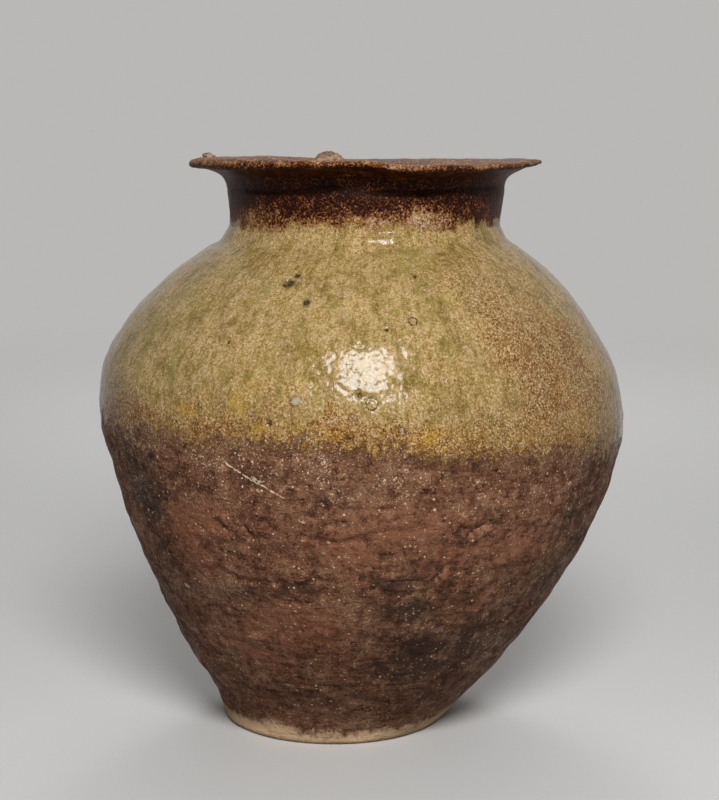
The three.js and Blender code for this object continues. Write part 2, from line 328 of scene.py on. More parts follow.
# Grooves, and ridges where the depth is negative: from angle, height, to angle, height, half width, depth
GROOVES = [
    (-118.2, 243, -112.2, 230, 1.4, 0.7), (-112.2, 230, -106.5, 219, 0.8, 0.4),
    (-71.6, 200.5, -67.2, 188.6, 2, 2.4), (-67.2, 188.6, -63.2, 196.4, 1.6, 2.2),
    (-71, 196, -67, 183.5, 2.4, -1.6), (-67, 183.5, -62, 192, 2.2, -1.4),
    (-115.8, 196.5, -114.2, 186, 1.8, 3), (-117.6, 194, -116.6, 185, 2.4, -1.8),
    (-122.5, 197, -119.5, 190, 2, 1.8), (-124.5, 190, -120.5, 185, 2.2, -1.2),
    (-85.2, 155.2, -75.6, 153.2, 2.6, 1.6), (-85, 150, -75.6, 148.5, 2, -0.8),
    (-73.8, 150.5, -68.8, 171, 2.4, 1.7), (-71.8, 150, -66.6, 170, 2.2, -1), (-105, 192, -97, 185, 2.2, 1.1),
    (-97, 185, -88, 188.5, 2.2, 1), (-92, 207, -86, 202, 1.8, 1.1), (-40.5, 211, -37, 209, 1.8, 1.8),
    (-58, 128, -46, 121, 2.2, 1.2), (-47, 80.5, -38, 76, 2, 1.4), (-20, 56, -28, 50, 2.4, 1.2),
    (-34, 32.5, -26, 30, 2.2, 1.5), (-139, 152, -132, 147, 1.8, 1), (-112, 138.5, -107, 135.5, 1.6, 1),
    (20, 201, 34, 192, 2.2, 1.4), (60, 152, 78, 149, 2.6, 1.4), (110, 190, 122, 197, 2.2, 1.6),
    (150, 158, 161, 150, 2.4, 1.4), (85, 214, 96, 207, 1.6, 1), (-50, 361, -44, 366, 0.9, -0.5),
    (-43.8, 312.5, -41.5, 300, 1, -0.5),
]
# Thin pale scratches: from angle, height, to angle, height, half width, strength
SCRATCHES = [
    (-118.6, 243.5, -115, 236, 1.2, 1.1), (-115, 236, -111.8, 229.5, 1.1, 1.1),
    (-112.4, 230.5, -108, 222.5, 0.9, 1.1), (-108.6, 223.5, -105, 217, 0.9, 1),
    (-112.6, 234, -110, 229, 1.2, 1.1), (-50, 361.5, -44, 366, 1.1, 1), (-43.8, 312.5, -41.5, 300, 1.1, 1.1),
    (-124.5, 245, -121.5, 243, 1.1, 1), (-104, 204, -101.5, 199.5, 1.1, 1),
    (-139, 137.5, -137, 134.5, 1.4, 1.1), (-106, 131, -104.6, 126, 1.1, 1), (-97, 229, -94.5, 224.5, 1.1, 1),
]
# Shallow dents: angle, height, half width, half height, depth
DENTS = [(-88, 402, 26, 22, 0.7), (-92, 300, 60, 30, 0.5), (70, 250, 50, 40, 0.8), (150, 180, 50, 40, 0.8)]
# Coil joins that still show as ledges: height, depth
LEDGES = [(193, 0.9), (154, 0.8), (101, 0.6), (62, 0.6), (226, 0.35)]
# Stones of feldspar that stand out: angle, height, radius, rise
STONES = [
    (-114.6, 248.3, 3, 0.8), (-72.4, 248.3, 2.7, 0.8), (-64.9, 241.3, 2.2, 0.8), (-67, 228.7, 2.2, 0.7),
    (-43.2, 164, 3.2, 0.9), (-100.8, 156.3, 3.4, 1.6), (-138.1, 136.3, 2.6, 0.8), (-103.1, 187.7, 2.2, 0.7),
    (-98.3, 246.3, 2, 0.6), (-93.8, 197, 2, 0.6), (25, 240, 2.6, 0.8), (64, 180, 2.8, 0.8),
    (97, 236, 2.4, 0.8), (131, 160, 3, 0.9), (166, 222, 2.4, 0.7), (48, 110, 2.6, 0.8), (112, 78, 2.4, 0.8),
]
# Olive runs of glaze: from angle, height, to angle, height, half width, strength
RUNS = [
    (-131.5, 382, -132, 345, 3.5, 0.5), (-132, 345, -133.4, 318, 3, 0.7),
    (-133.4, 318, -131.3, 289, 2.2, 1.1), (-144.8, 372, -144.8, 335, 5, 0.6),
    (-144.8, 335, -144.6, 281, 2.6, 0.9), (-148, 357, -147.6, 312, 4, 0.7), (-153, 330, -153, 272, 5, 0.7),
    (-139, 362, -139.5, 330, 4, 0.6), (-157, 350, -157, 268, 6, 0.5), (-118, 360, -113.5, 358, 4.5, 0.7),
    (-104.5, 348, -103.6, 330, 5, 0.6), (-91.5, 337, -88.5, 333, 6, 0.6), (-118.6, 336, -118.4, 318, 4, 0.45),
    (-72.5, 390, -72.3, 364, 9, 0.55), (-74, 372, -73.4, 345, 9, 0.5), (-69.4, 327, -73.5, 310, 4.5, 0.75),
    (-76.4, 285, -75.6, 268, 4.5, 0.5), (-82, 383, -80, 372, 6, 0.5), (-98, 357, -97, 345, 5, 0.45),
    (-125, 300, -124, 283, 4, 0.4), (-45.4, 268, -45.2, 258, 4, 0.5),
]
# Soft patches: angle, height, half width, half height, strength
AMBER = [
    (-126.5, 277, 11, 5, 1.1), (-120.1, 288, 10, 7, 0.7), (-114, 284, 13, 8, 0.8), (-111, 297, 13, 6, 0.6),
    (-109.5, 267.5, 9, 5, 1.1), (-101.8, 271, 12, 5, 0.6), (-95, 265, 12, 4, 0.5), (-74.5, 265.5, 12, 7, 0.9),
    (-77.8, 261, 9, 5, 0.8), (-66.2, 259, 16, 5, 0.6), (-57, 256, 14, 5, 0.5), (-37.5, 264.5, 7, 6, 0.8),
    (-137.5, 265, 12, 5, 0.6), (-81.5, 335.7, 8, 6, 0.3), (-67, 354, 9, 7, 0.3), (60, 235, 30, 8, 0.8),
    (105, 262, 22, 8, 0.8), (20, 244, 22, 7, 0.7), (150, 284, 18, 8, 0.7),
]
RUST = [
    (-42, 318, 52, 36, 1), (-51, 305, 30, 26, 0.4), (-30, 270, 28, 26, 0.7), (-57, 352, 26, 18, 0.3),
    (-141, 262, 26, 11, 0.62), (-147, 277, 24, 12, 0.35), (-157, 252, 30, 14, 0.8), (-88, 268, 40, 9, 0.25),
    (-10, 300, 34, 40, 0.75), (75, 300, 70, 34, 0.6), (140, 330, 50, 24, 0.4), (-50, 276, 26, 12, 0.35),
]
# Patches of scorched clay, and painted shade: the large ones darken the jar's left and right sides and low at
# its front right, where less light falls
SCORCHED_AND_SHADED = [
    (-66, 86, 56, 30, 1), (-80, 131, 26, 9, 0.6), (-104, 150, 22, 8, 0.55), (-118, 142, 14, 9, 0.5),
    (-108.5, 235, 24, 7, 0.5), (-143, 190, 26, 44, 0.8), (-38, 200, 26, 24, 0.6), (-60, 42, 50, 16, 0.5),
    (-84.5, 153, 22, 5, 0.5), (-30, 150, 34, 50, 0.5), (-97, 218, 18, 5, 0.35), (100, 150, 90, 50, 0.6),
    (-152, 225, 30, 26, 0.4), (-28, 222, 32, 26, 0.4), (30, 110, 50, 30, 0.6), (-160, 110, 40, 40, 0.5),
    (-50, 246, 30, 5, 0.3), (-75, 165, 12, 10, 0.3),
]
RED = [
    (-88, 176, 110, 26, 0.15), (-88, 205, 60, 18, 0.2), (-133, 192, 22, 18, 0.9), (-129.8, 160, 20, 16, 0.7),
    (-97, 186, 34, 10, 0.55), (-104, 121, 40, 14, 0.7), (-73, 171, 26, 12, 0.6), (-79, 195, 22, 8, 0.6),
    (-123, 200, 16, 10, 0.6), (-121, 88, 24, 18, 0.6), (-58, 133, 20, 9, 0.6), (-93, 173, 20, 6, 0.5),
    (-108, 100, 24, 14, 0.4), (-52, 178, 22, 10, 0.5), (30, 190, 40, 20, 0.8), (120, 120, 46, 22, 0.8),
    (165, 180, 30, 20, 0.7),
]
# Where more ash stuck to the neck
SUNNY = [(-70, 410, 30, 12, 0.5), (-95, 404, 60, 9, 0.25), (-140, 412, 30, 9, 0.2)]
# Patches of chalky, devitrified glaze
CHALKY = [
    (-102.5, 287.7, 4.2, 3, 0.95), (-82.2, 268.7, 4.6, 3.2, 0.95), (-92, 277, 6, 4, 0.4),
    (-119.9, 322, 3, 2, 0.5), (70, 330, 4, 3, 0.9), (128, 300, 5, 3.4, 0.9), (-15, 330, 4, 3, 0.8),
]


def arc_between(angle, height, at_angle, at_height):
    """Distances along the wall, sideways and upwards, from a place to points."""
    radius = outside(height)[0]
    turn = (angle - math.radians(at_angle) + math.pi) % TAU - math.pi
    return turn * radius, height - at_height * MM


def off_mark(angle, height, mark):
    """How far points are from a round mark's centre, as a share of its radius."""
    return np.hypot(*arc_between(angle, height, *mark[:2])) / (mark[2] * MM)


def patches(angle, height, marks):
    """Soft patches, added up."""
    total = np.zeros(len(angle))
    for at_angle, at_height, half_width, half_height, strength in marks:
        across, up = arc_between(angle, height, at_angle, at_height)
        total += strength * np.exp(-(across / (half_width * MM)) ** 2 - (up / (half_height * MM)) ** 2)
    return total


def strokes(angle, height, marks):
    """Soft strokes from place to place, added up; each fades at its two ends."""
    total = np.zeros(len(angle))
    for from_angle, from_height, to_angle, to_height, half_width, strength in marks:
        x0, y0 = arc_between(angle, height, from_angle, from_height)
        x1, y1 = arc_between(angle, height, to_angle, to_height)
        along = np.clip((x0 * (x0 - x1) + y0 * (y0 - y1)) / ((x0 - x1) ** 2 + (y0 - y1) ** 2 + 1e-12), 0, 1)
        away = np.hypot(x0 + along * (x1 - x0), y0 + along * (y1 - y0)) / (half_width * MM)
        total += strength * np.exp(-away ** 2) * (0.5 + 0.5 * np.sin(math.pi * along))
    return total


def pushed(angle, height, distance):
    """Points at distances from the smooth outside, measured square to it."""
    base, slope = outside(height)
    length = np.hypot(1, slope)
    return placed(angle, base + distance / length, height - distance * slope / length)


def wall_relief(angle, height):
    """How far the fired wall stands out from its smooth outline."""
    point = turned(angle, height)
    bare = 1 - smooth(height, BELLY - 20 * MM, BELLY + 20 * MM)
    relief = layers(point, (1.1, 95, 1), (0.9, (75, 75, 26), 2), (0.35 + 0.4 * bare, (22, 22, 11), 3),
                    (0.1 + 0.16 * bare, (9, 9, 5), 4), (0.05 + 0.07 * bare, 3.6, 7))
    for level, depth in LEDGES:
        away = height / MM - level - layers(point, (7, 42, 5), (2.5, 12, 8))
        shows = np.clip(0.15 + 1.5 * noise(point, (24, 24, 200), 6), 0, 1)
        relief += depth * shows * np.tanh(away / 1.2) * np.exp(-(away / 8) ** 2)
    for pit in PITS:
        away = off_mark(angle, height, pit) * (1 + 0.25 * noise(point, 3, 9))
        relief -= pit[3] * (np.exp(-away ** 4) - 0.3 * np.exp(-((away - 1.5) / 0.35) ** 2))
    for ring in RINGS:
        relief -= ring[3] * np.exp(-((off_mark(angle, height, ring) - 1) / 0.35) ** 2)
    for stone in STONES:
        relief += stone[3] * np.exp(-off_mark(angle, height, stone) ** 4)
    relief -= strokes(angle, height, GROOVES) + patches(angle, height, DENTS)
    fade = smooth(height, 0, 10 * MM)
    return relief * MM * bpy.context.scene.jar_sizes.relief * (0.35 + 0.65 * fade)


def inner_relief(angle, height):
    """How far the inside's coil ridges and finger marks stand out from its smooth surface."""
    point = turned(angle, height)
    coil = bpy.context.scene.jar_sizes.coil_height
    wander = 2.5 * MM * noise(point, 70, 11)
    ridge = 0.5 * np.cos(TAU * (height + wander) / coil)
    ridge = ridge + layers(point, (0.8, (40, 40, 18), 12), (0.25, 9, 13))
    return ridge * MM * (1 - smooth(height, NECK_TOP - 25 * MM, NECK_TOP))


def glaze_edge(angle):
    """Height of the ash glaze's lower edge round the jar."""
    level = bpy.context.scene.jar_sizes.glaze_edge
    around = placed(angle, BELLY_RADIUS, 0 * angle)
    runs = layers(around, (5, 45, 21), (3, 14, 22)) * MM
    behind = 1 + 1.4 * smooth(np.sin(angle), -0.2, 0.5)
    return level - 17 * MM * np.cos(angle - 0.8) - behind * runs


def ash_amount(angle, height):
    """How much ash glaze there is: 0 on bare clay, 1 where the glaze is whole."""
    point = turned(angle, height)
    wander = layers(point, (5, 9, 23), (3, 4, 25)) * MM
    lower = smooth(height - glaze_edge(angle) + wander, -20 * MM, 28 * MM)
    upper = 1 - smooth(height + wander, FILLET_TOP + 2 * MM, FILLET_TOP + 18 * MM)
    return lower * upper


def named(piece, name):
    piece.name = name
    piece.data.name = name
    return piece


def spun(name, section):
    """Turns a closed section of (radius, height) points once round the jar's axis."""
    bpy.ops.object.select_all(action="DESELECT")
    bpy.ops.mesh.primitive_circle_add(vertices=len(section), radius=BELLY_RADIUS, location=(0, 0, 0))
    piece = bpy.context.object
    for vertex, (radius, height) in zip(piece.data.vertices, section):
        vertex.co = (radius, 0, height)
    turn = piece.modifiers.new("turn", "SCREW")
    turn.steps = turn.render_steps = SEGMENTS
    bpy.ops.object.modifier_apply(modifier=turn.name)
    bpy.ops.object.mode_set(mode="EDIT")
    bpy.ops.mesh.select_all(action="SELECT")
    bpy.ops.mesh.remove_doubles(threshold=0.002 * MM)
    bpy.ops.mesh.delete_loose()
    bpy.ops.mesh.select_all(action="SELECT")
    bpy.ops.mesh.normals_make_consistent(inside=False)
    bpy.ops.object.mode_set(mode="OBJECT")
    return named(piece, name)


def points_of(piece):
    flat = np.empty(len(piece.data.vertices) * 3)
    piece.data.vertices.foreach_get("co", flat)
    return flat.reshape(-1, 3)


def stand(piece, point):
    """Moves a piece's points to where turned points stand in the hand-built jar."""
    piece.data.vertices.foreach_set("co", slump(point).ravel())
    piece.data.update()


def note(piece, name, values):
    """Stores a number or a place for each vertex, for the materials to read."""
    kind, key = ("FLOAT_VECTOR", "vector") if values.ndim == 2 else ("FLOAT", "value")
    attribute = piece.data.attributes.new(name, kind, "POINT")
    attribute.data.foreach_set(key, values.astype(np.float32).ravel())


def meridian(height):
    """Distance along the outside from the foot."""
    heights = np.linspace(0, NECK_TOP, 400)
    radii = outside(heights)[0]
    lengths = np.concatenate([[0], np.cumsum(np.hypot(np.diff(radii), np.diff(heights)))])
    return np.interp(height, heights, lengths)


def note_surface(piece, angle, height, outer, ash, fly, neck):
    """What the materials read: the ash, the way down the wall, the marks of fire and wear, and painted shade.

    outer is 1 on the outside and 0 on the inside, which has none of the outside's marks but grains of ash
    and the neck's clay."""
    point = turned(angle, height)
    note(piece, "flow", placed(angle, 180 * MM, meridian(height)))
    uneven = 1 + 0.5 * noise(point, 12, 30)
    low_band = np.exp(-((height - glaze_edge(angle) - 18 * MM) / (16 * MM)) ** 2)
    low_band *= 0.1 * (1 + noise(point, 20, 36))
    ochre = 1 - smooth(height - glaze_edge(angle) + 6 * MM * noise(point, 22, 26), 12 * MM, 52 * MM)
    stones = [(at, level, 0.6 * radius, 0.5 * radius, 1) for at, level, radius, _ in STONES]
    # Pits in the glaze, which the materials paint dark: painted shade in them
    pits = [(at, level, 0.8 * radius, 0.8 * radius, 1) for at, level, radius, _ in PITS if level * MM > BELLY]
    worn = height + layers(point, (4, 14, 34), (3, 40, 38)) * MM
    # Painted shade in the crease under the mouth, with a wider band of it on the collar's top under the rim's
    # overhang
    from_seam = (height - NECK_TOP) / MM
    painted_seam_shade = around_mouth(SEAM_STATIONS, angle, 2) / 2.6 * np.exp(-(from_seam / 2.2) ** 2)
    painted_seam_shade += 0.45 * np.exp(-(from_seam / 6) ** 2) * (height < NECK_TOP)
    wide_runs = [(*run[:4], 1.5 * run[4], run[5]) for run in RUNS]
    marks = {
        "ash": ash,
        "rust": patches(angle, height, RUST) * uneven + 0.6 * ochre + 0.2 * noise(point, 40, 31),
        "green": 1.1 * strokes(angle, height, wide_runs) * uneven,
        "amber": (0.75 * patches(angle, height, AMBER) + low_band) * uneven,
        # Scorched clay, with painted shade on the jar's sides and low at its front right
        "scorch": patches(angle, height, SCORCHED_AND_SHADED) * uneven + 0.3 * noise(point, (50, 50, 30), 32),
        "red": patches(angle, height, RED) * uneven + 0.25 * noise(point, (60, 60, 24), 37),
        "pale": strokes(angle, height, SCRATCHES) + patches(angle, height, stones),
        "chalky": patches(angle, height, CHALKY),
        # Painted shade in the glaze's pits and in the crease under the mouth
        "dark": patches(angle, height, pits) + painted_seam_shade,
    }
    for name, values in marks.items():
        note(piece, name, np.clip(values, 0, 1) * outer)
    note(piece, "fly", np.clip(fly, 0, 1))
    note(piece, "neck", np.clip(neck, 0, 1))
    note(piece, "foot", 1 - smooth(worn, 4 * MM, 22 * MM))
    note(piece, "inner", 1 - outer)


def on_glaze(marks):
    """Places on the glazed wall of marks that start with an angle and a height."""
    angle = np.radians([mark[0] for mark in marks])
    height = np.array([mark[1] for mark in marks]) * MM
    raised = wall_relief(angle, height) + bpy.context.scene.jar_sizes.glaze_thickness
    return slump(pushed(angle, height, raised))


def neck_share(angle, height):
    """Where the wall's clay gives way to the neck's dark one."""
    point = turned(angle, height)
    return smooth(height + 3 * MM * noise(point, 8, 33), FILLET_TOP - 12 * MM, FILLET_TOP + 4 * MM)


def fly_ash(angle, height):
    """How thickly grains of ash stuck to the neck and to the wall below the glaze."""
    point = turned(angle, height)
    up_neck = smooth(height, FILLET_TOP - 6 * MM, NECK_TOP)
    sunny = patches(angle, height, SUNNY)
    on_neck = (0.43 - 0.6 * up_neck + sunny + 0.2 * noise(point, 16, 35)) * (height > FILLET_TOP - 12 * MM)
    below = np.exp(-np.maximum(0, glaze_edge(angle) + 10 * MM - height) / (34 * MM))
    below *= height < BELLY + 60 * MM
    return on_neck + below * (0.75 + 0.3 * noise(point, 18, 39))


def rows(bottom, top, spacing):
    count = max(2, round((top - bottom) / spacing))
    return np.linspace(bottom, top, count + 1)


def wall_stage(name, outer_levels):
    """One stage of the wall: spun to its section, then thrown out of true and given its relief."""
    bottom, top = outer_levels[0], outer_levels[-1]
    outer = [(off_wall(h, 0), h) for h in outer_levels]
    inner = [(off_wall(h, -wall_thickness(h)), h) for h in rows(bottom, top, COARSE_ROW)][::-1]
    across_top = [(outer[-1][0] * (1 - s) + inner[0][0] * s, top) for s in (0.33, 0.67)]
    across_bottom = [(inner[-1][0] * (1 - s) + outer[0][0] * s, bottom) for s in (0.33, 0.67)]
    piece = spun(name, outer + across_top + inner + across_bottom)
    angle, radius, height = round_axis(points_of(piece))
    near, far = off_wall(height, -wall_thickness(height)), off_wall(height, 0)
    share = np.clip((radius - near) / (far - near), 0, 1)
    push = share * wall_relief(angle, height) - (1 - share) * inner_relief(angle, height)
    slope = outside(height)[1]
    length = np.hypot(1, slope)
    on_face = smooth(np.minimum(height - bottom, top - height), 0, 3 * MM)
    lift = -push * slope / length * on_face
    stand(piece, placed(angle, radius + push * np.where(on_face > 0, 1 / length, length), height + lift))
    inside = smooth(height, NECK_TOP - 34 * MM, NECK_TOP - 6 * MM)
    fly = fly_ash(angle, height) * share + 0.36 * inside * (1 - share)
    neck = neck_share(angle, height) * share + inside * (1 - share)
    note_surface(piece, angle, height, share, ash_amount(angle, height), fly, neck)
    return piece


def opaque(colour):
    return (*colour, 1)


def add_node(tree, kind, inputs=None, out=0, stops=(), **settings):
    """Adds a node with its settings, colour stops and links, and gives one of its output sockets."""
    node = tree.nodes.new("ShaderNode" + kind)
    for name, value in settings.items():
        setattr(node, name, value)
    for count, (place, colour) in enumerate(stops):
        elements = node.color_ramp.elements
        stop = elements[count] if count < len(elements) else elements.new(place)
        stop.position, stop.color = place, opaque(colour)
    for key, value in (inputs or {}).items():
        if isinstance(value, bpy.types.NodeSocket):
            tree.links.new(value, node.inputs[key])
        else:
            colour = node.inputs[key].type == "RGBA"
            node.inputs[key].default_value = opaque(value) if colour else value
    return None if out is None else node.outputs[out]


def added_up(tree, start, *terms):
    """A start and further sockets, each times its weight, added up. A weight may be a socket too."""
    for socket, weight in terms:
        start = add_node(tree, "Math", {0: socket, 1: weight, 2: start}, operation="MULTIPLY_ADD")
    return start


def laid_over(tree, under, over, value, low=0, high=1, most=1):
    """One colour laid over another where a value nears high; at most so much of it shows."""
    share = add_node(tree, "MapRange", {"Value": value, "From Min": low, "From Max": high, "To Max": most})
    return add_node(tree, "Mix", {0: share, 6: under, 7: over}, data_type="RGBA", out=2)


def nudged(tree, place, size, detail, reach):
    """Places pushed about by up to reach mm, in swirls of so many mm."""
    swirl = add_node(tree, "TexNoise", {"Vector": place, "Scale": 1 / (size * MM), "Detail": detail}, out=1)
    return add_node(tree, "VectorMath", {0: swirl, 1: (reach * MM,) * 3, 2: place}, operation="MULTIPLY_ADD")


def new_material(name):
    material = bpy.data.materials.new(name)
    material.use_nodes = True
    material.node_tree.nodes.clear()
    return material


def body_clay(tree, place, marks, grains, colours, sizes):
    """Bare stoneware: iron-bearing clay fired to red-brown, wiped by hand, rough and dry, and full of pale
    grains of feldspar. Gives the sockets of its colour, roughness and height."""
    fine, grain, broad, flecks = grains
    across = add_node(tree, "Mapping", {"Vector": place, "Scale": (0.25, 0.25, 1)})
    wiped = add_node(tree, "TexNoise", {"Vector": across, "Scale": 1 / (4 * MM), "Detail": 3,
                                        "Roughness": 0.8})
    tone = added_up(tree, -0.43, (fine, 0.5), (grain, 0.5), (wiped, 0.4), (broad, 0.5))
    colour = add_node(tree, "ValToRGB", {"Fac": tone}, stops=(
        (0.34, colours.clay_dark), (0.5, colours.clay), (0.68, colours.clay_light)))
    patchy = added_up(tree, -1.1, (grain, 2.2))
    red = added_up(tree, patchy, (marks["red"], 1))
    colour = laid_over(tree, colour, colours.red, red, 0.1, 0.9, 0.7)
    # Greyed, scorched clay, and painted shade on the jar's sides and low at its front right
    scorch = added_up(tree, marks["scorch"], (patchy, -1))
    colour = laid_over(tree, colour, colours.scorched_and_shaded, scorch, 0.1, 0.9, 0.85)
    colour = laid_over(tree, colour, colours.crust, marks["inner"], most=0.45)
    # Cracks in the wiped clay, sunk and painted dark: painted shade in them
    cracks = add_node(tree, "MapRange", {"Value": wiped, "From Min": 0.36, "From Max": 0.3, "To Max": 0.7})
    colour = laid_over(tree, colour, colours.neck_dark, cracks)
    worn = added_up(tree, marks["foot"], (patchy, 0.8))
    colour = laid_over(tree, colour, colours.foot, worn, 0.2, 0.8, 0.9)
    flecks = added_up(tree, flecks, (marks["fly"], 0.15), (grain, 0.35), (broad, 0.3))
    grit = add_node(tree, "MapRange", {"Value": flecks, "From Min": 1.01, "From Max": 1.08})
    shaken = nudged(tree, place, 2, 1, 1.4)
    # Feldspar in two sizes of grain: spacing, reach of the largest, and the share of cells that hold one
    for spacing, reach, presence in ((sizes.grit_spacing, 0.28, 0.4), (sizes.grit_spacing * 2.6, 0.15, 0.35)):
        cells = add_node(tree, "TexVoronoi", {"Vector": shaken, "Scale": 1 / spacing}).node
        chance = add_node(tree, "SeparateColor", {0: cells.outputs["Color"]})
        size = add_node(tree, "MapRange", {"Value": chance, "From Min": 1 - presence, "To Max": reach})
        inside = added_up(tree, size, (cells.outputs["Distance"], -1))
        inside = add_node(tree, "MapRange", {"Value": inside, "From Max": 0.06})
        grit = add_node(tree, "Math", {0: grit, 1: inside}, operation="MAXIMUM")
    torn = added_up(tree, grain, (marks["pale"], 1.5), (fine, 1.2))
    torn = add_node(tree, "MapRange", {"Value": torn, "From Min": 1.95, "From Max": 2.2})
    grit = add_node(tree, "Math", {0: grit, 1: torn}, operation="MAXIMUM")
    colour = laid_over(tree, colour, colours.feldspar, grit, most=0.8)
    rough = add_node(tree, "MapRange", {"Value": tone, "From Min": 0.35, "From Max": 0.65,
                                        "To Min": 0.9, "To Max": 0.55})
    height = added_up(tree, 0, (grain, 1.3 * MM), (fine, 0.35 * MM), (wiped, 0.7 * MM), (grit, 0.25 * MM),
                      (cracks, -0.6 * MM))
    return colour, rough, height


def neck_clay(tree, marks, grains, colours):
    """The neck's and the mouth's clay: iron-rich, fired to a dark brown sheen, with grains of ash stuck to it
    that close up to a tan crust. Gives the sockets of its colour, roughness and height."""
    grain, patchy = grains
    tone = added_up(tree, -0.49, (grain, 1.1), (patchy, 0.8), (marks["fly"], 0.42))
    colour = add_node(tree, "ValToRGB", {"Fac": tone}, stops=(
        (0.42, colours.neck_dark), (0.55, colours.neck), (0.69, colours.spark), (0.83, colours.crust),
        (0.98, colours.crust_pale)))
    rough = add_node(tree, "MapRange", {"Value": tone, "From Min": 0.45, "From Max": 0.8,
                                        "To Min": 0.38, "To Max": 0.8})
    return colour, rough, added_up(tree, 0, (tone, 0.9 * MM))


def melted_ash(tree, marks, grains, colours):
    """Natural ash glaze: wood ash melted on the shoulder to khaki glass, full of pale crystals, that ran in
    olive streaks and pooled amber at its edge. Gives the sockets of its colour, roughness and height."""
    fine, grain, broad, flecks, specks, swell = grains
    flow = add_node(tree, "Attribute", attribute_name="flow", out=1)
    down = add_node(tree, "Mapping", {"Vector": flow, "Scale": (1, 1, 0.17)})
    runs = add_node(tree, "TexNoise", {"Vector": down, "Scale": 1 / (5 * MM), "Detail": 4, "Roughness": 0.8})
    tone = added_up(tree, -0.5, (fine, 0.55), (grain, 0.45), (runs, 0.6), (broad, 0.4))
    colour = add_node(tree, "ValToRGB", {"Fac": tone}, stops=(
        (0.32, colours.glaze_deep), (0.5, colours.glaze), (0.68, colours.glaze_pale)))
    colour = laid_over(tree, colour, colours.crust, grain, 0.48, 0.66, 0.6)
    cool = added_up(tree, grain, (marks["rust"], 0.2))
    colour = laid_over(tree, colour, colours.green, cool, 0.54, 0.36, 0.3)
    speckle = added_up(tree, -0.2, (grain, 0.5), (fine, 0.9))
    thinner = add_node(tree, "ValToRGB", {"Fac": speckle}, stops=(
        (0.34, colours.rust), (0.49, colours.thin), (0.66, colours.glaze)))
    thin = added_up(tree, -0.15, (fine, -1.1), (grain, 1.3), (broad, 1.8), (marks["rust"], 0.7),
                    (marks["ash"], -1))
    colour = laid_over(tree, colour, thinner, thin, 0, 0.7, 0.95)
    streaks = added_up(tree, -1.7, (runs, 5))
    green = added_up(tree, -1.5, (runs, 3), (streaks, marks["green"]))
    colour = laid_over(tree, colour, colours.green, green, 0.15, 1.4, 0.65)
    pooled = added_up(tree, 0, (added_up(tree, -2, (tone, 5)), marks["amber"]))
    colour = laid_over(tree, colour, colours.amber, pooled, 0.1, 0.9, 0.8)
    # Pale feldspar flecks in the glaze, which also stand in for its small glints: partly painted highlights
    flecks = added_up(tree, flecks, (grain, 0.4), (marks["rust"], 0.11))
    colour = laid_over(tree, colour, colours.feldspar, flecks, 0.86, 0.92, 0.6)
    specks = added_up(tree, specks, (marks["rust"], 0.15))
    colour = laid_over(tree, colour, colours.rust, specks, 0.66, 0.73, 0.75)
    dried = added_up(tree, marks["chalky"], (grain, 3))
    edge = add_node(tree, "Math", {0: dried, 1: 1.98, 2: 0.09}, operation="COMPARE")
    on_patch = add_node(tree, "Math", {0: marks["chalky"], 1: 0.15}, operation="GREATER_THAN")
    colour = laid_over(tree, colour, colours.chalky, dried, 2.05, 2.2, 0.85)
    colour = laid_over(tree, colour, colours.rust, added_up(tree, 0, (edge, on_patch)), most=0.7)
    rough = add_node(tree, "MapRange", {"Value": tone, "From Min": 0.4, "From Max": 0.62,
                                        "To Min": 0.06, "To Max": 0.2})
    return colour, rough, added_up(tree, 0, (swell, 0.7 * MM), (fine, 0.07 * MM))


def shade(tree, colour, rough, height, specular):
    """The surface itself: a dielectric with the given colour, roughness and fine height."""
    normal = add_node(tree, "Bump", {"Height": height, "Distance": 1.0, "Strength": 1.0})
    surface = add_node(tree, "BsdfPrincipled", {"Base Color": colour, "Roughness": rough, "Normal": normal,
                                                "Specular IOR Level": specular})
    add_node(tree, "OutputMaterial", {"Surface": surface}, None)


# How strongly each finish mirrors
SPECULAR = {"red_brown_stoneware": 0.12, "iron_brown_stoneware": 0.08, "natural_ash_glaze": 0.17}

# The notes on the surface that the finishes read
MARKS = "ash fly neck rust green amber scorch red pale chalky dark foot inner".split()

# Patterns of grains in the clays, in the ash glaze and where they meet: size in mm, detail, roughness, warp
GRAINS = {
    "clay": ((1.9, 1, 1, 0), (8, 3, 0.8, 0), (34, 3, 0.6, 0), (1.5, 1, 1, 0.4)),
    "neck": ((1.7, 1, 1, 0), (9, 4, 0.85, 0)),
    "ash": ((1.8, 1, 1, 0), (7, 4, 0.8, 0), (24, 3, 0.6, 0), (1.5, 1, 1, 0.4), (2, 2, 1, 0.3),
            (7, 1, 0.6, 0)),
    "meeting": ((4, 3, 0.95, 0),),
}


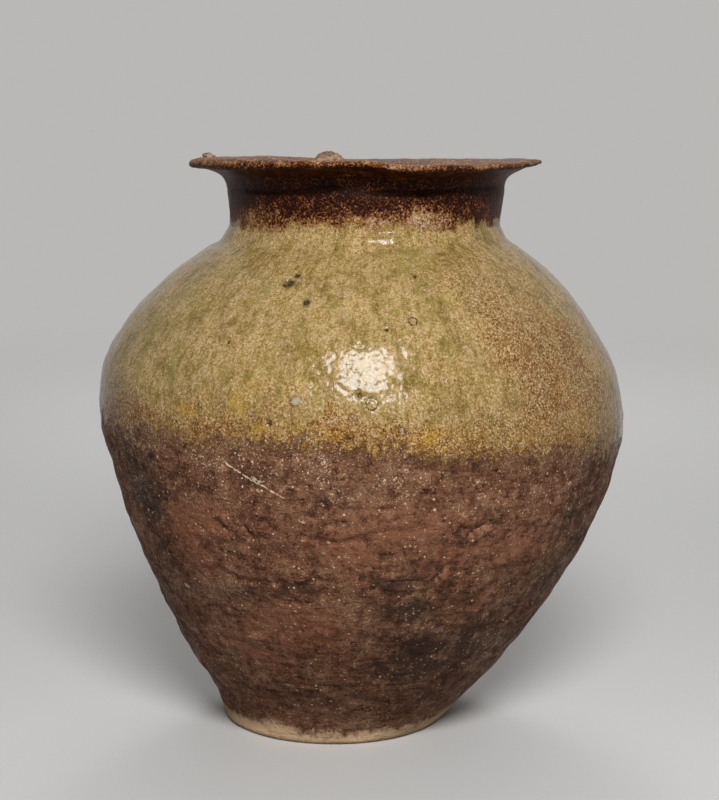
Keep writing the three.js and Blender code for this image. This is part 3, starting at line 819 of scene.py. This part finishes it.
def fired_stoneware(name):
    """The jar's clay with the ash that fell on it, mixed by the notes on its surface."""
    colours, sizes = bpy.context.scene.jar_colours, bpy.context.scene.jar_sizes
    material = new_material(name)
    tree = material.node_tree
    place = add_node(tree, "TexCoord", out=3)
    marks = {mark: add_node(tree, "Attribute", attribute_name=mark, out=2) for mark in MARKS}
    grains = {layer: [add_node(tree, "TexNoise", {"Vector": place, "Scale": 1 / (size * MM), "Detail": detail,
                                                  "Roughness": rough, "Distortion": warp})
                      for size, detail, rough, warp in kinds] for layer, kinds in GRAINS.items()}
    colour, rough, height = body_clay(tree, place, marks, grains["clay"], colours, sizes)
    patch = added_up(tree, -2.75, (grains["meeting"][0], 4.5))
    for over, mark in ((neck_clay, "neck"), (melted_ash, "ash")):
        upper = over(tree, marks, grains[mark], colours)
        cover = added_up(tree, patch, (marks[mark], 2))
        cover = add_node(tree, "MapRange", {"Value": cover, "From Min": 0.25, "From Max": 0.65})
        colour = laid_over(tree, colour, upper[0], cover)
        rough, height = (add_node(tree, "Mix", {0: cover, 2: below, 3: above})
                         for below, above in ((rough, upper[1]), (height, upper[2])))
    # Pits and burst bubbles in the glaze, and the crease under the mouth, are painted dark: painted shade in
    # these hollows. The swirls that make their edges ragged push by half their reach on average.
    reach = 3.4
    ragged = nudged(tree, place, 2.2, 2, reach)
    painted_hollow_shade = marks["dark"]
    for mark, centre in zip(PITS + RINGS, on_glaze(PITS + RINGS)):
        if mark[1] * MM > BELLY:
            away = add_node(tree, "VectorMath", {0: ragged, 1: tuple(centre + reach / 2 * MM)}, out=1,
                            operation="DISTANCE")
            test, part = ("COMPARE", 1) if mark in RINGS else ("LESS_THAN", 0.75)
            hole = add_node(tree, "Math", {0: away, 1: part * mark[2] * MM, 2: 0.45 * MM}, operation=test)
            painted_hollow_shade = add_node(tree, "Math", {0: painted_hollow_shade, 1: hole}, operation="MAXIMUM")
    colour = laid_over(tree, colour, colours.neck_dark, painted_hollow_shade, most=0.85)
    shade(tree, colour, rough, height, SPECULAR[name])
    return material


def fused_debris(name):
    """Kiln debris: crumbs of fired clay and half-melted ash, dry, pitted and pinkish tan."""
    colours = bpy.context.scene.jar_colours
    material = new_material(name)
    tree = material.node_tree
    place = add_node(tree, "TexCoord", out=3)
    crumbs = add_node(tree, "TexNoise", {"Vector": place, "Scale": 1 / (5 * MM), "Detail": 5,
                                         "Roughness": 0.85})
    colour = add_node(tree, "ValToRGB", {"Fac": crumbs}, stops=(
        (0.42, colours.debris_dark), (0.53, colours.debris), (0.66, colours.crust_pale)))
    shade(tree, colour, 0.9, added_up(tree, 0, (crumbs, 1.2 * MM)), 0.2)
    return material


def finish_piece(piece, finish, slot, *nodes):
    """Smooths a piece, gives it its finish and its place in the frame."""
    bpy.ops.object.select_all(action="DESELECT")
    piece.select_set(True)
    bpy.context.view_layer.objects.active = piece
    bpy.ops.object.shade_smooth_by_angle(angle=math.radians(60))
    make = fired_stoneware if finish in SPECULAR else fused_debris
    piece.data.materials.append(bpy.data.materials.get(finish) or make(finish))
    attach(piece, "root")
    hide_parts(*nodes)


class JAR_OT_foot(bpy.types.Operator):
    """Lay the clay slab under the wall"""
    bl_idname = "jar.foot"
    bl_label = "Foot"

    def execute(self, context):
        edge = OUTLINE[0, 1]
        side = [(off_wall(h, 0), h) for h in rows(FOOT_ROUND, FLOOR_TOP, FINE_ROW)]
        top = [(r, FLOOR_TOP) for r in np.linspace(side[-1][0], 0, 40)[1:]]
        under = [(r, 0) for r in np.linspace(0, edge - FOOT_ROUND, 40)]
        piece = spun("clay_floor_slab", under + [(edge - 0.3 * FOOT_ROUND, 0.3 * FOOT_ROUND)] + side + top)
        angle, radius, height = round_axis(points_of(piece))
        rim = smooth(radius, edge - 8 * MM, edge)
        radius = radius + rim * wall_relief(angle, height)
        stand(piece, placed(angle, radius, height))
        fallen = smooth(height, 0, FLOOR_TOP) * (1 - smooth(radius, 30 * MM, 75 * MM))
        note_surface(piece, angle, height, rim, 0 * angle, 0.5 * fallen, 0 * angle)
        finish_piece(piece, "red_brown_stoneware", "foot_clay", "floor_slab")
        return {"FINISHED"}


class JAR_OT_wall(bpy.types.Operator):
    """Raise the five stages of the wall"""
    bl_idname = "jar.wall"
    bl_label = "Wall"

    def execute(self, context):
        stages = [("lower_wall", FLOOR_TOP, LOWER_TOP), ("middle_wall", LOWER_TOP, MIDDLE_TOP),
                  ("belly_wall", MIDDLE_TOP, BELLY), ("shoulder_wall", BELLY, SHOULDER_TOP),
                  ("upper_shoulder", SHOULDER_TOP, NECK_FOOT)]
        for node, bottom, top in stages:
            piece = wall_stage("clay_" + node, rows(bottom, top, FINE_ROW))
            finish_piece(piece, "red_brown_stoneware", "bare_stoneware", node)
        return {"FINISHED"}


class JAR_OT_neck(bpy.types.Operator):
    """Build the neck collar and the folded-out mouth"""
    bl_idname = "jar.neck"
    bl_label = "Neck and mouth"

    def execute(self, context):
        near_seam = NECK_TOP - 8 * MM
        levels = [*rows(NECK_FOOT, near_seam, 1.6 * MM)[:-1], *rows(near_seam, NECK_TOP, 0.7 * MM)]
        collar = wall_stage("clay_neck_collar", levels)
        for piece, node in ((collar, "neck_collar"), (mouth_rim(), "mouth_rim")):
            finish_piece(piece, "iron_brown_stoneware", "neck_clay", node)
        return {"FINISHED"}


def bezier(points, count):
    """Points along one cubic curve."""
    a, b, c, d = (np.array(p) for p in points)
    t = np.linspace(0, 1, count + 1)[:, None]
    return a * (1 - t) ** 3 + 3 * b * t * (1 - t) ** 2 + 3 * c * t ** 2 * (1 - t) + d * t ** 3


def rim_face():
    """The rim's upper face, from the lip in to the neck's inside."""
    inner_neck = off_wall(NECK_TOP, -NECK_WALL)
    return bezier([(RIM_RADIUS - LIP_REACH, MOUTH_TOP), (inner_neck + 16 * MM, MOUTH_TOP - RIM_DISH),
                   (inner_neck, MOUTH_TOP - RIM_DISH - 3 * MM), (inner_neck, NECK_TOP)], 36)


def rim_face_at(radius):
    """Height of the rim's upper face at radii."""
    face = rim_face()
    return np.interp(radius, face[::-1, 0], face[::-1, 1])


def mouth_rim():
    """The folded-out mouth: a hollow sweep out of the neck to an uneven, rounded lip."""
    lip_foot = RIM_RADIUS - LIP_REACH
    under = bezier([(NECK_RADIUS, NECK_TOP), (NECK_RADIUS, NECK_TOP + 8.8 * MM),
                    (NECK_RADIUS + 6 * MM, MOUTH_TOP - LIP - 3.5 * MM), (lip_foot, MOUTH_TOP - LIP)], 38)
    turn = np.radians(np.linspace(78, -78, 13))
    lip = np.stack([lip_foot + LIP_REACH * np.cos(turn), MOUTH_TOP - LIP / 2 * (1 + np.sin(turn))], axis=1)
    face = rim_face()
    across = np.linspace(face[-1], under[0], 5)[1:-1]
    piece = spun("clay_mouth_rim", [tuple(p) for p in np.concatenate([under, lip, face, across])])
    angle, radius, height = round_axis(points_of(piece))
    depth = np.maximum(0, rim_face_at(np.minimum(radius, lip_foot)) - height)
    thicker = (around_mouth(RIM_STATIONS, angle, 2) - 1) * smooth(radius, NECK_RADIUS, RIM_RADIUS)
    height = height - depth * thicker
    point = placed(angle, radius, height)
    swing = smooth(height, NECK_TOP, NECK_TOP + 6 * MM) * MM
    edge = smooth(radius, lip_foot - 4 * MM, RIM_RADIUS)
    radius = radius + swing * layers(point, (0.8, 40, 41), (0.35, 9, 42))
    height = height + swing * layers(point, (0.6, 26, 43), (0.25, 7, 44), (0.45 * edge, 4, 45),
                                     (0.25 * edge, 2, 46))
    left = np.exp(-((np.abs(angle) - math.pi) / math.radians(28)) ** 2)
    droop = 3 * MM * left * smooth(radius, RIM_RADIUS - 16 * MM, RIM_RADIUS) * np.clip(1 - depth / LIP, 0, 1)
    stand(piece, placed(angle, radius, height - droop))
    height = height - droop
    upper = 1 - smooth(depth, 0.2 * LIP, 1.05 * LIP)
    crusty = noise(point, (26, 26, 4), 48)
    fly = upper * (0.42 + 0.22 * crusty) + (0.05 + 0.17 * upper) * noise(point, 7, 47)
    melted = 0.2 * upper * smooth(crusty + 0.4 * noise(point, 11, 49), 0.1, 0.6)
    note_surface(piece, angle, height, 0 * angle + 1, melted, fly, 0 * angle + 1)
    return piece


class JAR_OT_glaze(bpy.types.Operator):
    """Lay the coat of ash glaze on the shoulder"""
    bl_idname = "jar.glaze"
    bl_label = "Ash glaze"

    def execute(self, context):
        sizes = context.scene.jar_sizes
        bottom, top = sizes.glaze_edge - 38 * MM, FILLET_TOP + 8 * MM
        sink = 0.6 * MM
        outer = [(off_wall(h, sizes.glaze_thickness), h) for h in rows(bottom, top, FINE_ROW)]
        inner = [(off_wall(h, -sink), h) for h in rows(bottom, top, 14 * MM)][::-1]
        piece = spun("ash_glaze", outer + inner)
        angle, radius, height = round_axis(points_of(piece))
        base, slope = outside(height)
        ash = ash_amount(angle, height)
        on_top = smooth((radius - base) / np.hypot(1, slope), -sink, sizes.glaze_thickness)
        point = turned(angle, height)
        flow = layers(point, (0.22, (6, 6, 11), 51), (0.1, 3.2, 52)) * MM
        flow = flow * (1 + smooth(height, NECK_FOOT - 4 * MM, NECK_FOOT + 4 * MM))
        hidden = 0.25 * MM
        thick = ash * (1 - smooth(height, FILLET_TOP, top))
        away = -sink + on_top * (sink - hidden + thick * (sizes.glaze_thickness + hidden + flow))
        stand(piece, pushed(angle, height, wall_relief(angle, height) + away))
        fly, neck = fly_ash(angle, height), neck_share(angle, height)
        note_surface(piece, angle, height, 0 * angle + 1, ash, fly, neck)
        finish_piece(piece, "natural_ash_glaze", "ash_glaze", "ash_glaze_coat")
        return {"FINISHED"}


class JAR_OT_debris(bpy.types.Operator):
    """Fuse two lumps of kiln debris to the mouth"""
    bl_idname = "jar.debris"
    bl_label = "Kiln debris"

    def execute(self, context):
        for node, turn, inset, along, across, rise in DEBRIS:
            bpy.ops.object.select_all(action="DESELECT")
            bpy.ops.mesh.primitive_ico_sphere_add(subdivisions=6, radius=1, location=(0, 0, 0))
            piece = named(context.object, "fused_" + node)
            ball = points_of(piece)
            lumpy = 1 + layers(ball * MM, (0.1, 0.5, 66), (0.07, 0.25, 62), (0.05, 0.1, 63))
            x, y, up = (ball * lumpy[:, None] * 0.94).T
            outward = RIM_RADIUS + (across * x - inset - across) * MM
            sideways = along * y * MM
            radius = np.hypot(outward, sideways)
            angle = turn + np.arctan2(sideways, outward)
            height = rim_face_at(radius) + np.where(up > 0, rise * up, 1.5 * up) * MM
            stand(piece, placed(angle, radius, height))
            finish_piece(piece, "fused_kiln_crumbs", "kiln_debris", node)
        return {"FINISHED"}


def seen_rays(tree):
    """1 for the rays that see the studio or its mirror image, 0 for those that light the jar."""
    rays = add_node(tree, "LightPath").node
    seen = rays.outputs["Is Camera Ray"]
    for kind in ("Is Glossy Ray", "Is Transmission Ray"):
        seen = add_node(tree, "Math", {0: seen, 1: rays.outputs[kind]}, operation="MAXIMUM")
    return seen


def studio_paper(name):
    """Matt backdrop paper, pale to the eye; the light that it throws back on the jar is held down, and far
    from the jar it fades into the pale air behind it."""
    paper = new_material(name)
    tree = paper.node_tree
    seen = seen_rays(tree)
    tone = laid_over(tree, linear(FLOOR_LIGHT), linear(FLOOR_COLOUR), seen)
    matt = add_node(tree, "BsdfPrincipled", {"Base Color": tone, "Roughness": 0.9, "Specular IOR Level": 0.2})
    pale = add_node(tree, "Emission", {"Color": linear(AIR_COLOUR)})
    place = add_node(tree, "TexCoord", out=3)
    distance = add_node(tree, "VectorMath", {0: place}, out=1, operation="LENGTH")
    far = add_node(tree, "MapRange", {"Value": distance, "From Min": 0.9, "From Max": 3.2},
                   interpolation_type="SMOOTHERSTEP")
    surface = add_node(tree, "MixShader", {0: added_up(tree, 0, (far, seen)), 1: matt, 2: pale})
    add_node(tree, "OutputMaterial", {"Surface": surface}, None)
    return paper


def studio_air(name):
    """The air round the stage: pale to the eye, with a soft light of its own."""
    world = bpy.data.worlds.new(name)
    world.use_nodes = True
    tree = world.node_tree
    tree.nodes.clear()
    tone = laid_over(tree, linear(AIR_LIGHT), linear(AIR_COLOUR), seen_rays(tree))
    surface = add_node(tree, "Background", {"Color": tone, "Strength": 1})
    add_node(tree, "OutputWorld", {"Surface": surface}, None)
    return world


class JAR_OT_stage(bpy.types.Operator):
    """Set the pale floor, the soft studio light and the camera"""
    bl_idname = "jar.stage"
    bl_label = "Studio"

    def execute(self, context):
        scene = context.scene
        bpy.ops.object.select_all(action="DESELECT")
        bpy.ops.mesh.primitive_circle_add(vertices=96, radius=40, fill_type="NGON", location=(0, 0, 0))
        floor = named(context.object, "studio_floor")
        floor.data.materials.append(studio_paper("studio_paper"))
        for name, place, aim, size, power, mirrored in SOFTBOXES:
            light = bpy.data.lights.new(name, "AREA")
            light.shape, light.energy = "ELLIPSE", power
            light.size, light.size_y = size
            lamp = bpy.data.objects.new(name, light)
            scene.collection.objects.link(lamp)
            lamp.visible_glossy = mirrored
            lamp.location = place
            lamp.rotation_euler = (Vector(aim) - Vector(place)).to_track_quat("-Z", "Y").to_euler()
        scene.world = studio_air("studio_air")
        camera = bpy.data.cameras.new("photo_camera")
        camera.sensor_width, camera.lens = SENSOR, LENS
        viewer = bpy.data.objects.new("photo_camera", camera)
        scene.collection.objects.link(viewer)
        viewer.location = CAMERA_PLACE
        viewer.rotation_euler = (CAMERA_TILT, 0, 0)
        scene.camera = viewer
        scene.view_settings.view_transform = "Standard"
        return {"FINISHED"}


class JAR_PT_sidebar(bpy.types.Panel):
    """The jar's sizes, colours and pieces"""
    bl_idname = "JAR_PT_sidebar"
    bl_label = "Storage jar"
    bl_space_type = "VIEW_3D"
    bl_region_type = "UI"
    bl_category = "Jar"

    def draw(self, context):
        for group in (context.scene.jar_sizes, context.scene.jar_colours):
            for name in group.bl_rna.properties.keys():
                if name not in ("rna_type", "name"):
                    self.layout.prop(group, name)
        for operator in OPERATORS:
            self.layout.operator(operator.bl_idname)


OPERATORS = (JAR_OT_foot, JAR_OT_wall, JAR_OT_neck, JAR_OT_glaze, JAR_OT_debris, JAR_OT_stage)
CLASSES = (JarSizes, JarColours, *OPERATORS, JAR_PT_sidebar)


def register():
    for item in CLASSES:
        bpy.utils.register_class(item)
    bpy.types.Scene.jar_sizes = bpy.props.PointerProperty(type=JarSizes)
    bpy.types.Scene.jar_colours = bpy.props.PointerProperty(type=JarColours)


def unregister():
    del bpy.types.Scene.jar_sizes
    del bpy.types.Scene.jar_colours
    for item in reversed(CLASSES):
        bpy.utils.unregister_class(item)


def main():
    register()
    bpy.ops.jar.foot()
    bpy.ops.jar.wall()
    bpy.ops.jar.neck()
    bpy.ops.jar.glaze()
    bpy.ops.jar.debris()
    bpy.ops.jar.stage()


if __name__ == "__main__":
    main()
